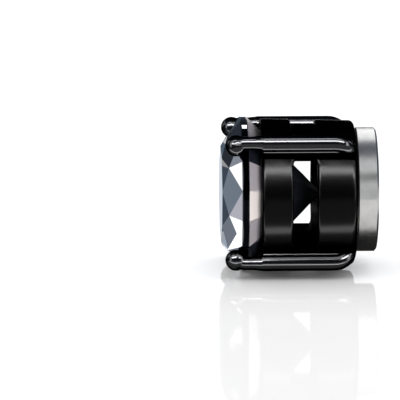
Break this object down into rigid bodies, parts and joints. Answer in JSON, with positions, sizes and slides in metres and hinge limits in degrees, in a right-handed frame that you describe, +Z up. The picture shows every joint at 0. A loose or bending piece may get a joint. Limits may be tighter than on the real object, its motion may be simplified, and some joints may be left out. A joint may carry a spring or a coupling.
{
  "type": "magnetic stud earring",
  "caption": "Round faceted black stone in a black claw basket, with a disc magnet that pulls off behind to clasp an unpierced ear.",
  "frame": {"origin": "on the surface the earring lies on, midway along its length and under its axis", "axes": "+Y along the earring's axis from the stone to the back magnet, +Z up, X across"},
  "size_m": [0.008, 0.008, 0.008],
  "materials": {
    "black_stone": "opaque black cubic zirconia, polished flat facets",
    "black_plating": "black ion plating on polished stainless steel",
    "nickel_plating": "bare nickel plate on a neodymium magnet, satin"
  },
  "bodies": {
    "front": {"claw_setting": "black_plating", "stone": "black_stone", "fixed_magnet": "nickel_plating"},
    "back": {"back_magnet": "nickel_plating"}
  },
  "joints": [
    {"name": "back_pull", "type": "slide", "parent": "front", "child": "back", "axis": [0, 1, 0], "range_m": [0, 0.01], "stiffness_N_per_m": 1, "springref_m": -0.01}
  ]
}
